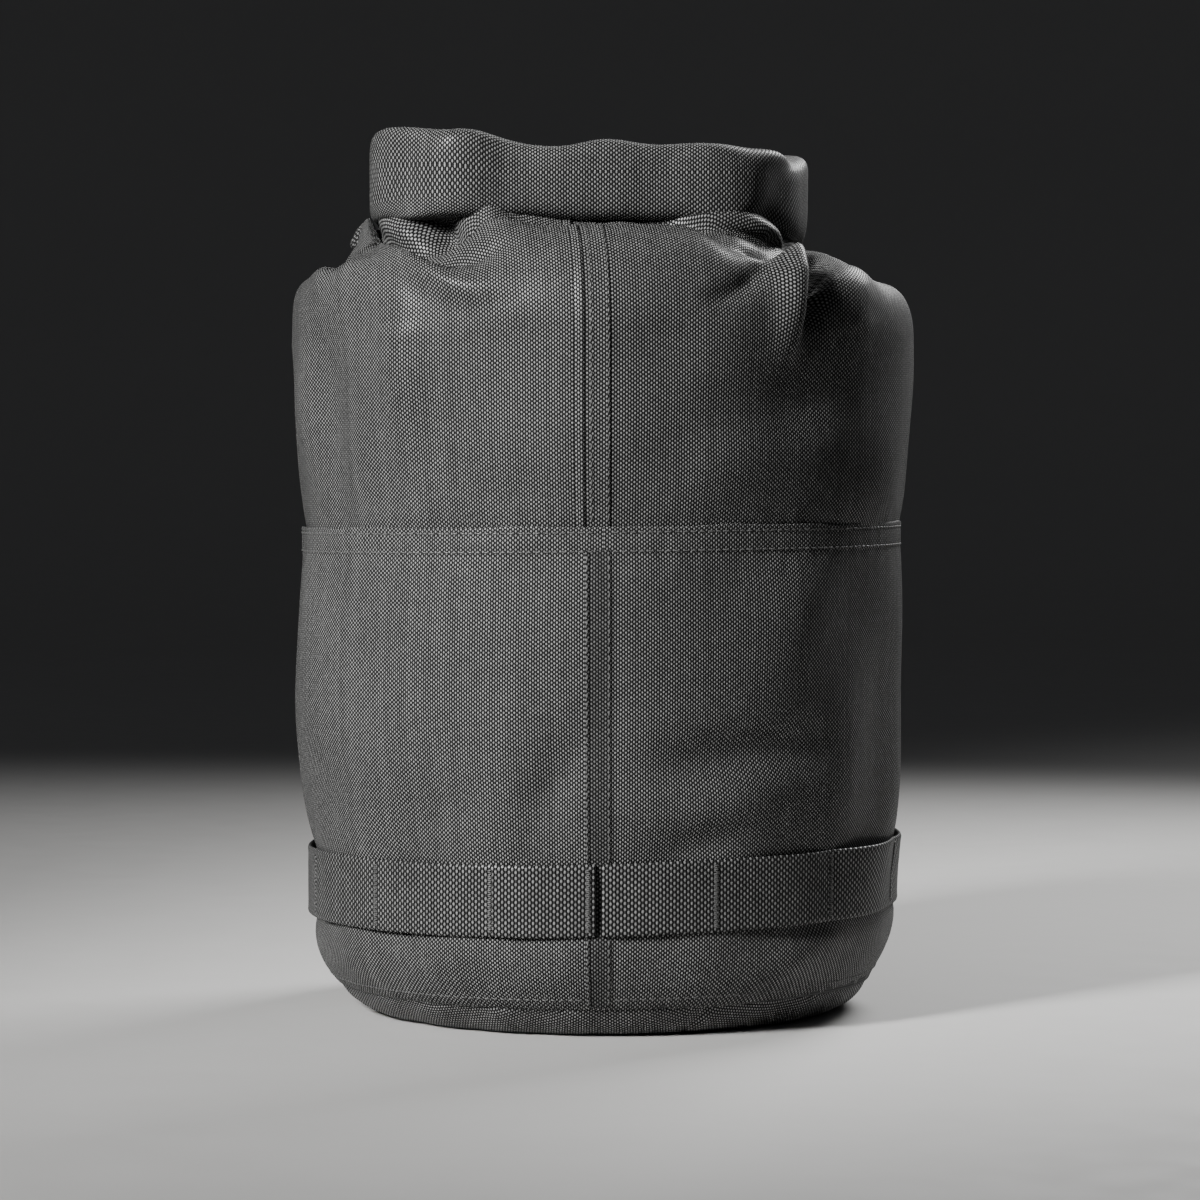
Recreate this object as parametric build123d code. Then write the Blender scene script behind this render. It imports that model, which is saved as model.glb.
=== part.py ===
from build123d import *
import math
import os

# Roll-top compression sack, millimetres, +Z up, standing on z = 0.
# The front (the side with the vertical seam) faces -Y and the buckle is at the back, +Y.
# A round base panel, a lower and an upper cloth tube, and a mouth that is rolled down on a
# stiff strip and bent round into a ring, whose two ends a side-release buckle holds together.

# ---- driving dimensions -------------------------------------------------------------------
CLOTH = 1.2                # coated nylon cloth, with its seams' slack
TAPE = 1.0                 # lap of cloth that stands proud over a felled seam
WEBBING = 1.5              # one layer of nylon webbing
WEBBING_WIDTH = 25.4

BASE_FLAT_RADIUS = 84.0    # part of the base that lies on the table
BASE_TURN = (20.5, 22.0)   # the base's rounded edge, across and up
BASE_SEAM = (102.0, 11.5)  # radius and height where the base meets the tube
BAND_RADIUS = 111.4        # the tube runs straight under the webbing band
BAND_LOW, BAND_HIGH = 38.0, 38.0 + WEBBING_WIDTH
WAIST = (112.0, 181.5)     # radius and height of the seam between the tubes
SHOULDER = (116.5, 255.0)  # where the upper tube starts to turn in
CROWN_RADIUS, CROWN_Z = 82.0, 286.0

SEAM_WIDTH = 9.0           # width of the felled seam, and of the lap at the waist
SEAM_CLEAR = 2.0           # how far the seam's lap stops short of the waist and the base
BINDING = (10.0, 0.8)      # tape over the raw edges inside, width and thickness
BASE_BINDING = (7.5, 2.2)

BAND_GAP = 2.0             # between the band's two ends, over the front seam
BARTACK_FIRST = 41.0       # along the band, from the front seam to the first bartack
BARTACK_COUNT = 13         # spread evenly round the rest of the band
BARTACK_END = 5.2          # the one that closes the band's end
BARTACK = (2.2, 23.0, 0.6)

RING_X = -5.5              # the ring sits a little to the left
RING_WIDTH, RING_DEPTH, RING_CORNER = 134.0, 128.0, 28.0   # along the middle of the roll
ROLL_LOW, ROLL_HEIGHT, ROLL_THICK, ROLL_ROUND = 291.0, 30.0, 24.0, 8.5
NECK_THICK, NECK_DROP, NECK_CLEAR = 8.0, 16.0, 0.3
STRIP_THICK, STRIP_HEIGHT = 1.6, 20.0

BUCKLE_Z = ROLL_LOW + ROLL_HEIGHT / 2
BAR_X, BAR_RADIUS = 26.0, 2.0
SOCKET_LEFT, SOCKET_RIGHT = -20.0, 10.0
SOCKET_WIDTH, SOCKET_THICK = 34.0, 9.0
THROAT_WIDTH, THROAT_THICK = 26.4, 5.2
BUCKLE_WALL = (SOCKET_WIDTH - THROAT_WIDTH) / 2
THROAT_LEFT = -17.0
WINDOW_LEFT, WINDOW_RIGHT = -15.8, -4.8
PLUG_LEFT, PLUG_RIGHT, PLUG_WIDTH, PLUG_THICK = 10.4, 17.0, 31.0, 8.4
ARM_REACH, ARM_THICK = 1.9, 6.0
TONGUE_LEFT, TONGUE_WIDTH, TONGUE_THICK = -12.0, 4.8, 3.6
PRONG_PIVOT_X, PRONG_PIVOT_Z, PRONG_ROOT = 12.2, 9.5, 1.7
PRONG_THICK = 4.2
PIVOT_CLEAR = 0.05
TAB_LAYERS = 2 * WEBBING

FULL = 400.0               # a box that is larger than the sack


# ---- helpers ------------------------------------------------------------------------------
def tube_wall(curve, thickness):
    """A face in the XZ plane, from a curve of (radius, z) edges inwards by a thickness."""
    inner = [edge.moved(Location((-thickness, 0, 0))) for edge in curve]
    start, end = curve[0] @ 0, curve[-1] @ 1
    low = Line(start, start - Vector(thickness, 0, 0))
    high = Line(end, end - Vector(thickness, 0, 0))
    outline = Wire([*curve, high, *inner, low])
    return Face(outline)


def turned(curve, thickness, inset=0.0):
    """The tube that such a wall makes round the Z axis. Inset moves the whole wall inwards."""
    moved = [edge.moved(Location((-inset, 0, 0))) for edge in curve]
    return revolve(tube_wall(moved, thickness), Axis.Z)


def between(low, high):
    """A slab that keeps what lies between two heights."""
    return Pos(0, 0, (low + high) / 2) * Box(FULL, FULL, high - low)


def front_strip(width):
    """A slab that keeps a vertical strip of that width at the front."""
    return Pos(0, -FULL / 4, FULL / 2) * Box(width, FULL / 2, FULL)


def hoop(inner, outer, low, high):
    """A ring round the Z axis."""
    return Pos(0, 0, low) * extrude(Circle(outer) - Circle(inner), amount=high - low)


# ---- the tubes' outlines, as edges of (radius, 0, z) --------------------------------------
def lower_outline():
    """Outer surface of the lower tube: out from the base, straight at the band, to the waist."""
    foot = Spline(
        (BASE_SEAM[0], 0, BASE_SEAM[1]),
        (107.9, 0, 25.0),
        (BAND_RADIUS, 0, BAND_LOW - 1.0),
        tangents=[(0.5, 0, 1), (0, 0, 1)],
    )
    seat = Line((BAND_RADIUS, 0, BAND_LOW - 1.0), (BAND_RADIUS, 0, BAND_HIGH + 1.0))
    belly = Spline(
        (BAND_RADIUS, 0, BAND_HIGH + 1.0),
        (114.4, 0, 108.0),
        (114.6, 0, 142.0),
        (WAIST[0], 0, WAIST[1]),
        tangents=[(0, 0, 1), (-0.1, 0, 1)],
    )
    return [foot, seat, belly]


def upper_outline():
    """Outer surface of the upper tube, from the waist to the shoulder."""
    return [
        Spline(
            (WAIST[0], 0, WAIST[1]),
            (115.2, 0, 208.0),
            (117.0, 0, 236.0),
            (SHOULDER[0], 0, SHOULDER[1]),
            tangents=[(0.15, 0, 1), (0, 0, 1)],
        )
    ]


# ---- cloth --------------------------------------------------------------------------------
def base_panel():
    """Round panel of the bottom, turned up at its edge to the base seam."""

    def dish(shrink):
        """Everything above the panel's surface, moved in by shrink, up to the seam."""
        across, up = BASE_TURN[0] - shrink, BASE_TURN[1] - shrink
        seam_z = BASE_SEAM[1]
        angle = math.degrees(math.asin((seam_z - BASE_TURN[1]) / up))
        rim = EllipticalCenterArc(
            (BASE_FLAT_RADIUS, BASE_TURN[1]), across, up, -90, arc_size=90 + angle
        )
        top = rim @ 1
        outline = [
            Line((0, shrink), (BASE_FLAT_RADIUS, shrink)),
            rim,
            Line(top, (0, seam_z)),
            Line((0, seam_z), (0, shrink)),
        ]
        return revolve(Plane.XZ * make_face(outline), Axis.Z)

    return dish(0.0) - dish(CLOTH)


def lower_body():
    """Lower cloth tube, from the base seam to the waist."""
    return turned(lower_outline(), CLOTH)


def bell(shrink):
    """Everything inside the upper tube and its shoulders, moved in by shrink."""
    side = [edge.moved(Location((-shrink, 0, 0))) for edge in upper_outline()]
    across = SHOULDER[0] - CROWN_RADIUS - shrink
    up = CROWN_Z - SHOULDER[1] - shrink
    turn = Plane.XZ * EllipticalCenterArc((CROWN_RADIUS, SHOULDER[1]), across, up)
    crown = SHOULDER[1] + up
    outline = [
        *side,
        turn,
        Line((CROWN_RADIUS, 0, crown), (0, 0, crown)),
        Line((0, 0, crown), (0, 0, WAIST[1])),
        Line((0, 0, WAIST[1]), (WAIST[0] - shrink, 0, WAIST[1])),
    ]
    return revolve(Face(Wire(outline)), Axis.Z)


def upper_body():
    """Upper cloth tube and the shoulders that close in under the rolled mouth."""
    return bell(0.0) - bell(CLOTH)


def waist_lap():
    """Turned-over top edge of the lower tube, lapped on the seam at the waist."""
    proud = turned(lower_outline(), TAPE, inset=-TAPE)
    return proud & between(WAIST[1] - SEAM_WIDTH, WAIST[1])


def lower_seam():
    """Felled vertical seam of the lower tube. The webbing band runs between its two parts."""
    proud = turned(lower_outline(), TAPE, inset=-TAPE) & front_strip(SEAM_WIDTH)
    foot = between(BASE_SEAM[1] + SEAM_CLEAR, BAND_LOW - NECK_CLEAR)
    belly = between(BAND_HIGH + NECK_CLEAR, WAIST[1] - SEAM_WIDTH - NECK_CLEAR)
    return Compound([*(proud & foot).solids(), *(proud & belly).solids()])


def upper_seam():
    """Felled vertical seam of the upper tube."""
    proud = turned(upper_outline(), TAPE, inset=-TAPE) & front_strip(SEAM_WIDTH)
    return proud & between(WAIST[1] + SEAM_CLEAR, SHOULDER[1])


def seam_binding():
    """Tape inside, over the raw edges of the lower tube's vertical seam."""
    width, thick = BINDING
    inside = turned(lower_outline(), thick, inset=CLOTH) & front_strip(width)
    return inside & between(BASE_SEAM[1] + BASE_BINDING[0] + 1.0, WAIST[1] - 1.0)


def base_binding():
    """Tape inside, over the raw edges of the base seam."""
    height, thick = BASE_BINDING
    inside = turned(lower_outline(), thick, inset=CLOTH)
    return inside & between(BASE_SEAM[1], BASE_SEAM[1] + height)


# ---- webbing band round the foot ----------------------------------------------------------
def webbing_band():
    """One length of webbing round the foot, whose ends meet at the front seam."""
    band = hoop(BAND_RADIUS, BAND_RADIUS + WEBBING, BAND_LOW, BAND_HIGH)
    return band - front_strip(BAND_GAP)


def webbing_bartacks():
    """Dense thread bars that divide the band into lashing loops."""
    width, height, thick = BARTACK
    outside = BAND_RADIUS + WEBBING
    low = BAND_LOW + (WEBBING_WIDTH - height) / 2
    skin = hoop(outside, outside + thick, low, low + height) & front_strip(width)
    round_band = 2 * math.pi * BAND_RADIUS
    spacing = (round_band - 2 * BARTACK_FIRST) / (BARTACK_COUNT - 1)
    places = [BARTACK_FIRST + spacing * n for n in range(BARTACK_COUNT)]
    places.append(round_band - BARTACK_END)
    bars = [Rot(0, 0, math.degrees(place / BAND_RADIUS)) * skin for place in places]
    return Compound([bar.solid() for bar in bars])


# ---- the rolled mouth ---------------------------------------------------------------------
def ring_loop(thick):
    """The whole loop that the mouth and its buckle make, seen from above."""
    outer = RectangleRounded(
        RING_WIDTH + thick, RING_DEPTH + thick, RING_CORNER + thick / 2
    )
    inner = RectangleRounded(
        RING_WIDTH - thick, RING_DEPTH - thick, RING_CORNER - thick / 2
    )
    return outer - inner


def ring_opening():
    """The part of the loop at the back that the roll leaves to the straps and the buckle."""
    corner_x = RING_WIDTH / 2 - RING_CORNER
    corner_y = RING_DEPTH / 2 - RING_CORNER
    reach = RING_DEPTH / 2
    return make_face(
        Polyline(
            (-corner_x, corner_y),
            (corner_x, corner_y),
            (corner_x + reach, corner_y + reach),
            (-corner_x - reach, corner_y + reach),
            close=True,
        )
    )


def ring_wall(thick, low, height):
    """An upright wall along the roll's way round, open at the back."""
    wall = extrude(ring_loop(thick) - ring_opening(), amount=height)
    return Pos(RING_X, 0, low) * wall


def mouth_strip(thick=STRIP_THICK, height=STRIP_HEIGHT):
    """Stiff strip in the hem of the mouth, at the heart of the roll."""
    return ring_wall(thick, BUCKLE_Z - height / 2, height)


def rolled_mouth():
    """The mouth's cloth, rolled up on its strip and bent round into a ring."""
    roll = ring_wall(ROLL_THICK, ROLL_LOW, ROLL_HEIGHT)
    level = [
        edge
        for edge in roll.edges()
        if abs((edge % 0.5).Z) < 1e-6 and not is_end_edge(edge)
    ]
    return fillet(level, ROLL_ROUND) - mouth_strip()


def is_end_edge(edge):
    """True for the short straight edges of the roll's two cut ends."""
    diagonal = abs(abs((edge % 0.5).X) - abs((edge % 0.5).Y)) < 1e-6
    return edge.geom_type == GeomType.LINE and diagonal


def neck():
    """Gathered cloth between the shoulders and the underside of the roll."""
    top = ROLL_LOW - NECK_CLEAR
    return ring_wall(NECK_THICK, top - NECK_DROP, NECK_DROP) - bell(0.0)


# ---- straps and buckle --------------------------------------------------------------------
def in_buckle(shape):
    """Moves a shape from the buckle's own axes to its place in the ring."""
    return Pos(RING_X, RING_DEPTH / 2, BUCKLE_Z) * shape


def block(left, right, width, thick, middle_z=0.0):
    """A box of the buckle: along X from left to right, width along Z, thick along Y."""
    return Pos((left + right) / 2, 0, middle_z) * Box(right - left, thick, width)


def post(x, z, radius, length):
    """A cylinder across the buckle's thickness."""
    return Pos(x, 0, z) * Rot(90, 0, 0) * Cylinder(radius, length)


def strap_tab(side):
    """Doubled webbing from one end of the roll round a bar of the buckle. Side is -1 or 1."""
    way = ring_loop(TAB_LAYERS) & ring_opening()
    beyond = Pos(side * (BAR_X + FULL / 2), 0) * Rectangle(FULL, FULL)
    bar = Pos(side * BAR_X, RING_DEPTH / 2)
    eye = bar * Circle(BAR_RADIUS + WEBBING)
    flat = (way & beyond) + eye - bar * Circle(BAR_RADIUS)
    low = BUCKLE_Z - WEBBING_WIDTH / 2
    return Pos(RING_X, 0, low) * extrude(flat, amount=WEBBING_WIDTH)


def strap_bar(side, root, width):
    """Round bar that a strap goes round, on two arms that start at x = root."""
    arm_z = THROAT_WIDTH / 2 + BUCKLE_WALL / 2
    end = side * (BAR_X + ARM_REACH)
    arms = [
        block(min(root, end), max(root, end), width, ARM_THICK, z)
        for z in (-arm_z, arm_z)
    ]
    bar = Pos(side * BAR_X, 0, 0) * Cylinder(BAR_RADIUS, 2 * arm_z)
    return bar + arms


def buckle_socket():
    """Female half: a flat housing with side windows that the prongs' heads look out of."""
    housing = block(SOCKET_LEFT, SOCKET_RIGHT, SOCKET_WIDTH, SOCKET_THICK)
    housing = fillet(housing.edges().filter_by(Axis.X), 2.0)
    housing += strap_bar(-1, SOCKET_LEFT + 1.0, BUCKLE_WALL)
    throat = block(THROAT_LEFT, SOCKET_RIGHT + 1.0, THROAT_WIDTH, THROAT_THICK)
    window = block(WINDOW_LEFT, WINDOW_RIGHT, FULL, THROAT_THICK)
    return in_buckle(housing - throat - window)


def buckle_plug():
    """Male half without its prongs: shoulder, middle tongue and strap bar."""
    shoulder = block(PLUG_LEFT, PLUG_RIGHT, PLUG_WIDTH, PLUG_THICK)
    shoulder = fillet(shoulder.edges().filter_by(Axis.X), 2.0)
    tongue = block(TONGUE_LEFT, PLUG_LEFT + 1.0, TONGUE_WIDTH, TONGUE_THICK)
    plug = shoulder + tongue + strap_bar(1, PLUG_RIGHT - 1.0, BUCKLE_WALL - 1.0)
    for side in (-1, 1):
        z = side * PRONG_PIVOT_Z
        radius = PRONG_ROOT + PIVOT_CLEAR
        depth = PRONG_THICK + 2 * PIVOT_CLEAR
        plug -= post(PRONG_PIVOT_X, z, radius, depth)
        plug -= block(PLUG_LEFT - 1.0, PRONG_PIVOT_X, 2 * radius, depth, z)
    return in_buckle(plug)


def prong(side):
    """Springy arm of the plug with the head that latches in the window. Side is -1 or 1."""
    outline = Polyline(
        (PRONG_PIVOT_X, 8.2),
        (PRONG_PIVOT_X, 10.8),
        (1.0, 11.6),
        (-3.0, 12.4),
        (-5.1, 12.9),
        (-5.1, 15.2),
        (-7.5, 16.3),
        (-11.0, 15.8),
        (-14.0, 13.4),
        (-15.2, 10.6),
        (-14.0, 9.0),
        (-6.0, 9.2),
        close=True,
    )
    arm = extrude(Plane.XZ * make_face(outline), amount=PRONG_THICK / 2, both=True)
    root = post(PRONG_PIVOT_X, PRONG_PIVOT_Z, PRONG_ROOT, PRONG_THICK)
    shape = arm + root
    if side < 0:
        shape = mirror(shape, Plane.XY)
    return in_buckle(shape)


# ---- write --------------------------------------------------------------------------------
PARTS = {
    "base_panel": base_panel,
    "base_binding": base_binding,
    "lower_body": lower_body,
    "upper_body": upper_body,
    "waist_lap": waist_lap,
    "lower_seam": lower_seam,
    "upper_seam": upper_seam,
    "seam_binding": seam_binding,
    "webbing_band": webbing_band,
    "webbing_bartacks": webbing_bartacks,
    "neck": neck,
    "rolled_mouth": rolled_mouth,
    "mouth_strip": mouth_strip,
    "left_strap_tab": lambda: strap_tab(-1),
    "right_strap_tab": lambda: strap_tab(1),
    "buckle_socket": buckle_socket,
    "buckle_plug": buckle_plug,
    "upper_prong": lambda: prong(1),
    "lower_prong": lambda: prong(-1),
}

os.makedirs("parts", exist_ok=True)
for name, build in PARTS.items():
    export_step(build(), f"parts/{name}.step")
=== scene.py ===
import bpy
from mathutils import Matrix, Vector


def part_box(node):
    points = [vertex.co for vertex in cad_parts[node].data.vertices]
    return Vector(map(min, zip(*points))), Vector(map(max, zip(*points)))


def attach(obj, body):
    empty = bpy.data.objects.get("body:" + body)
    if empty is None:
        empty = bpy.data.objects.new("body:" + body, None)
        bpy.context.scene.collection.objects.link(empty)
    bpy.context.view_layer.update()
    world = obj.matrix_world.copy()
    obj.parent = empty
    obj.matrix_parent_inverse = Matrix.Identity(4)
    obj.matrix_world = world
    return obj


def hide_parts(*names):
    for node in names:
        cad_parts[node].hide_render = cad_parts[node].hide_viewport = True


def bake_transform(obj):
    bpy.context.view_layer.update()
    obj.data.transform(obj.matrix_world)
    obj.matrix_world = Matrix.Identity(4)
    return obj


bl_info = {
    "name": "Roll-top compression sack",
    "version": (1, 0, 0),
    "blender": (4, 5, 0),
    "location": "View3D > Sidebar > Sack",
    "description": "Sews the cloth, webbing, stitching and rolled mouth of a compression sack round its packed frame",
    "category": "Object",
}

import math

import bmesh
import bpy
import numpy as np
from mathutils import Vector

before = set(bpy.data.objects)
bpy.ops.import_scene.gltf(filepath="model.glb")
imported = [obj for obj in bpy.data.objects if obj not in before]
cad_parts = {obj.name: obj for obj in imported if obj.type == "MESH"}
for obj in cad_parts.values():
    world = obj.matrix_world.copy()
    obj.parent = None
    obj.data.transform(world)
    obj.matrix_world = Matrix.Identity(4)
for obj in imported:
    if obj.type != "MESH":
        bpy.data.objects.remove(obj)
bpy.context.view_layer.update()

# Shapes are worked out in millimetres, heights from the table and angles in degrees from the
# front seam, positive to the right. Meshes are written in metres.
MM = 0.001


def node_box(name):
    """A packed node's lowest and highest corners, in millimetres."""
    low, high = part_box(name)
    return np.array(low) / MM, np.array(high) / MM


BASE_SEAM = node_box("base_panel")[1][2]
WAIST = node_box("lower_body")[1][2]
LAP = WAIST - node_box("waist_lap")[0][2]
CROWN = node_box("upper_body")[1][2]
(_, _, BAND_LOW), (BAND_OUTSIDE, _, BAND_HIGH) = node_box("webbing_band")
ROLL_LOW, ROLL_HIGH = node_box("rolled_mouth")
TAB_LOW, TAB_HIGH = node_box("left_strap_tab")
WEBBING = 1.5              # one layer of webbing

RING_X = (ROLL_LOW[0] + ROLL_HIGH[0]) / 2
RING_Z = (ROLL_LOW[2] + ROLL_HIGH[2]) / 2
ROLL_HALF = np.array([12.0, (ROLL_HIGH[2] - ROLL_LOW[2]) / 2])
RING_SIDE = (ROLL_HIGH[0] - ROLL_LOW[0]) / 2 - ROLL_HALF[0]
RING_FRONT = -ROLL_LOW[1] - ROLL_HALF[0]
RING_CORNER = 28.0         # bend of the ring at its corners
BAR_X = 26.0               # from the ring's middle to each half's strap bar

COLUMNS = 360              # upright yarns drawn round a tube
STEP = 2 * math.pi / COLUMNS
ANGLES = np.degrees(np.arange(COLUMNS) * STEP)
SKIN = 116.8               # widest radius of the packed sack
ROUND = np.arange(COLUMNS + 1) * STEP * SKIN     # how far round the cloth each column is


# ---- sizes and colours a user would change --------------------------------------------------
def colour_setting(name, description, default):
    return bpy.props.FloatVectorProperty(name=name, description=description, default=default, subtype="COLOR")


def size_setting(name, description, millimetres):
    return bpy.props.FloatProperty(name=name, description=description, default=millimetres * MM, unit="LENGTH")


def power_setting(name, description, default):
    return bpy.props.FloatProperty(name=name, description=description, default=default, unit="POWER")


class SackCloth(bpy.types.PropertyGroup):
    # Yarn colour: painted highlight on the yarns' tops. Gap colour: painted shade between the yarns.
    colour: colour_setting("Yarn", "Colour of the cloth's yarn where it catches light", (0.27, 0.27, 0.266))
    gap: colour_setting("Gap", "Colour between the yarns", (0.002, 0.002, 0.002))
    warp: size_setting("Warp pitch", "From one upright yarn to the next", 0.97)
    weft: size_setting("Weft pitch", "From one level yarn to the next", 0.75)
    folds: bpy.props.FloatProperty(
        name="Folds", description="How deep the creases round the neck are",
        default=1.0, subtype="FACTOR", min=0.0, max=1.5)


class SackWebbing(bpy.types.PropertyGroup):
    # The webbing's yarn colour is a painted highlight on its yarns' tops.
    colour: colour_setting("Webbing", "Colour of the webbing's yarn", (0.20, 0.20, 0.197))
    rib: size_setting("Rib pitch", "From one upright rib of the webbing to the next", 1.25)
    pick: size_setting("Pick pitch", "From one level yarn of the webbing to the next", 1.05)


class SackThread(bpy.types.PropertyGroup):
    colour: colour_setting("Thread", "Colour of the sewing thread", (0.085, 0.085, 0.083))
    radius: size_setting("Radius", "Half the thread's thickness", 0.34)
    stitch: size_setting("Stitch", "From one needle hole to the next", 3.1)


class SackStage(bpy.types.PropertyGroup):
    floor: colour_setting("Floor", "Colour of the studio floor", (0.50, 0.495, 0.485))
    key: power_setting("Key light", "Power of the tall light at the left", 2.8)
    rim: power_setting("Rim light", "Power of the light behind the right shoulder", 9.0)
    air: bpy.props.FloatProperty(
        name="Surroundings", description="Strength of the light from all round",
        default=0.045, min=0.0, max=2.0)


# ---- curves and grids -----------------------------------------------------------------------
def smooth(t):
    """An even step from 0 to 1."""
    t = np.clip(t, 0.0, 1.0)
    return t * t * (3 - 2 * t)


def through(knots, x):
    """A smooth curve through (place, value) knots, read at x."""
    place, value = np.array(knots, float).T
    slope = np.gradient(value, place)
    x = np.clip(x, place[0], place[-1])
    k = np.clip(np.searchsorted(place, x) - 1, 0, len(place) - 2)
    span = place[k + 1] - place[k]
    t = (x - place[k]) / span
    rise = (value[k + 1] - value[k]) * t * t * (3 - 2 * t)
    ease = span * ((t**3 - 2 * t**2 + t) * slope[k] + (t**3 - t**2) * slope[k + 1])
    return value[k] + rise + ease


def unit(vectors):
    return vectors / np.maximum(np.linalg.norm(vectors, axis=-1, keepdims=True), 1e-9)


class Grid:
    """A sheet of cloth: rows up the sack, columns round it from the front seam, in millimetres."""

    def __init__(self, points, uv):
        self.points, self.uv = points, uv
        around = np.roll(points, -1, 1) - np.roll(points, 1, 1)
        self.normals = unit(np.cross(around, np.gradient(points, axis=0)))

    def at(self, row, column, lift=0.0):
        """Points on the sheet, between its rows and columns, lifted off it."""
        rows, columns = self.points.shape[:2]
        row = np.clip(row, 0, rows - 1.001)
        r, c = np.floor(row).astype(int), np.floor(column).astype(int)
        tr, tc = (row - r)[..., None], (column - c)[..., None]
        c0, c1 = c % columns, (c + 1) % columns

        def mixed(a):
            low = a[r, c0] * (1 - tc) + a[r, c1] * tc
            high = a[r + 1, c0] * (1 - tc) + a[r + 1, c1] * tc
            return low * (1 - tr) + high * tr

        return mixed(self.points) + unit(mixed(self.normals)) * np.asarray(lift)[..., None]


grids = {}


def plan(angle, radius):
    """(x, y) at an angle from the front seam."""
    turn = np.radians(angle)
    return radius * np.sin(turn), -radius * np.cos(turn)


def column_of(angle):
    return np.radians(angle) / STEP


def write_mesh(name, points, faces, uvs, material, solid=False):
    """A mesh object from millimetre points, quads or caps, and one uv for each face corner."""
    mesh = bpy.data.meshes.new(name)
    mesh.from_pydata((points * MM).tolist(), [], faces)
    layer = mesh.uv_layers.new(name="Yarn")
    layer.data.foreach_set("uv", (np.asarray(uvs, float) * MM).ravel())
    mesh.polygons.foreach_set("use_smooth", [True] * len(mesh.polygons))
    if solid:
        shell = bmesh.new()
        shell.from_mesh(mesh)
        bmesh.ops.recalc_face_normals(shell, faces=shell.faces)
        shell.to_mesh(mesh)
        shell.free()
    mesh.update()
    piece = bpy.data.objects.new(name, mesh)
    bpy.context.scene.collection.objects.link(piece)
    piece.data.materials.append(material)
    return piece


def woven(name, points, uv, material, wrap=True, caps=False):
    """A piece from rows and columns of points. Its uv has one more column where it wraps."""
    rows, columns = points.shape[:2]
    wide = columns if wrap else columns - 1
    r, c = np.meshgrid(np.arange(rows - 1), np.arange(wide), indexing="ij")
    r, c = r.ravel(), c.ravel()
    d = (c + 1) % columns
    faces = np.stack([r * columns + c, r * columns + d, (r + 1) * columns + d, (r + 1) * columns + c], 1)
    corners = np.stack([uv[r, c], uv[r, c + 1], uv[r + 1, c + 1], uv[r + 1, c]], 1)
    faces, uvs = faces.tolist(), corners.reshape(-1, 2)
    if caps:
        last = (rows - 1) * columns
        faces += [list(range(columns))[::-1], [last + k for k in range(columns)]]
        uvs = np.concatenate([uvs, uv[0, :columns][::-1], uv[-1, :columns]])
    return write_mesh(name, points.reshape(-1, 3), faces, uvs, material, solid=caps)


def cross(across, up):
    """Every pair of a place across and a place up, as rows and columns."""
    return np.stack(np.meshgrid(across, up), -1)


def lengths(points, axis=0):
    """How far along each point is, from the first."""
    steps = np.linalg.norm(np.diff(points, axis=axis), axis=-1)
    start = np.zeros_like(np.take(steps, [0], axis=axis))
    return np.concatenate([start, np.cumsum(steps, axis=axis)], axis=axis)


def swept(name, centres, sides, ups, section, material):
    """A closed section of (side, up) points carried along centres: webbing, strips and laps."""
    centres, sides, ups = (np.asarray(a, float) for a in (centres, sides, ups))
    section = np.broadcast_to(section, (len(centres),) + np.shape(section)[-2:])
    points = (centres[:, None] + section[..., :1] * sides[:, None] + section[..., 1:] * ups[:, None])
    along = lengths(centres)
    rim = lengths(np.concatenate([section[0], section[0][:1]]))
    uv = np.stack(np.meshgrid(along, rim, indexing="ij"), -1)
    return woven(name, points, uv, material, caps=True)


def ripple(angle, height, seed, size, depth):
    """Soft, even unevenness that closes round the sack."""
    pick = np.random.default_rng(seed)
    total = np.zeros(np.broadcast(angle, height).shape)
    for _ in range(9):
        around = round(2 * math.pi * SKIN / (size * pick.uniform(0.7, 1.8)))
        climb = pick.uniform(-1, 1) * 2 * math.pi / size
        total = total + np.sin(np.radians(angle) * around + height * climb + pick.uniform(0, 6.3))
    return depth * total / 3


def dent(angle, height, at, size, depth, slant=0.0):
    """A soft hollow (or, below zero, a bulge) of the packed cloth, turned by a slant."""
    across = np.radians((angle - at[0] + 180) % 360 - 180) * SKIN
    up = height - at[1]
    c, s = math.cos(math.radians(slant)), math.sin(math.radians(slant))
    u, v = (across * c + up * s) / size[0], (up * c - across * s) / size[1]
    return -depth * np.exp(-(u * u + v * v))


def settle(piece, body, slot, *nodes):
    """Puts a finished piece on a body, in the place of packed nodes."""
    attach(piece, body)
    if nodes:
        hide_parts(*nodes)


# ---- shader groups --------------------------------------------------------------------------
def once(build):
    """Keeps the first result, so that a material or group is built only once."""
    kept = []

    def get():
        if not kept:
            kept.append(build())
        return kept[0]

    get.__doc__ = build.__doc__
    return get


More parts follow.
